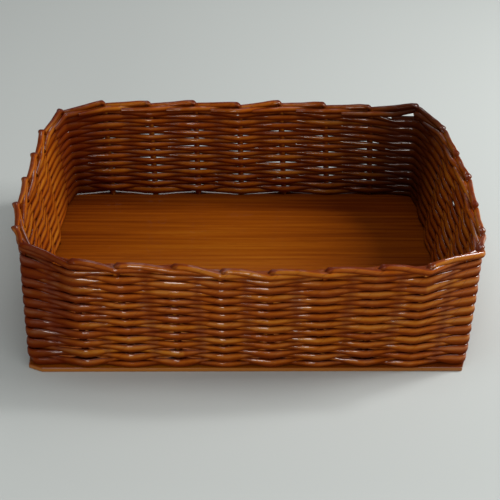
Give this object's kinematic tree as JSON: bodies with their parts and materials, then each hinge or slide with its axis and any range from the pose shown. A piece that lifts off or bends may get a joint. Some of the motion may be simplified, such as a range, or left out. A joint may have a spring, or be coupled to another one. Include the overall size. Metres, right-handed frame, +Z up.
{
  "type": "woven paper basket",
  "caption": "Shallow rectangular tray basket woven from rolled paper tubes round upright stakes on a thin wooden base board, with a folded stake border.",
  "frame": {"origin": "middle of the base board's underside, on the surface that the basket stands on", "axes": "+X along the board's length to the right seen from the front, +Y to the back, +Z up"},
  "size_m": [0.4228, 0.3113, 0.1133],
  "materials": {
    "board": "satin",
    "stakes": "gloss",
    "strand": "gloss"
  },
  "bodies": {
    "root": {"base_board": "board", "stake_01": "stakes", "stake_02": "stakes", "stake_03": "stakes", "stake_04": "stakes", "stake_05": "stakes", "stake_06": "stakes", "stake_07": "stakes", "stake_08": "stakes", "stake_09": "stakes", "stake_10": "stakes", "stake_11": "stakes", "stake_12": "stakes", "stake_13": "stakes", "stake_14": "stakes", "stake_15": "stakes", "stake_16": "stakes", "stake_17": "stakes", "stake_18": "stakes", "stake_19": "stakes", "stake_20": "stakes", "stake_21": "stakes", "stake_22": "stakes", "stake_23": "stakes", "stake_24": "stakes", "stake_25": "stakes", "stake_26": "stakes", "stake_27": "stakes", "stake_28": "stakes", "stake_29": "stakes", "strand_round_01": "strand", "strand_round_02": "strand", "strand_round_03": "strand", "strand_round_04": "strand", "strand_round_05": "strand", "strand_round_06": "strand", "strand_round_07": "strand", "strand_round_08": "strand", "strand_round_09": "strand", "strand_round_10": "strand", "strand_round_11": "strand", "strand_round_12": "strand", "strand_round_13": "strand", "strand_round_14": "strand", "strand_round_15": "strand", "strand_round_16": "strand", "strand_round_17": "strand", "strand_round_18": "strand", "strand_round_19": "strand", "strand_round_20": "strand", "strand_round_21": "strand", "strand_round_22": "strand"}
  },
  "joints": []
}
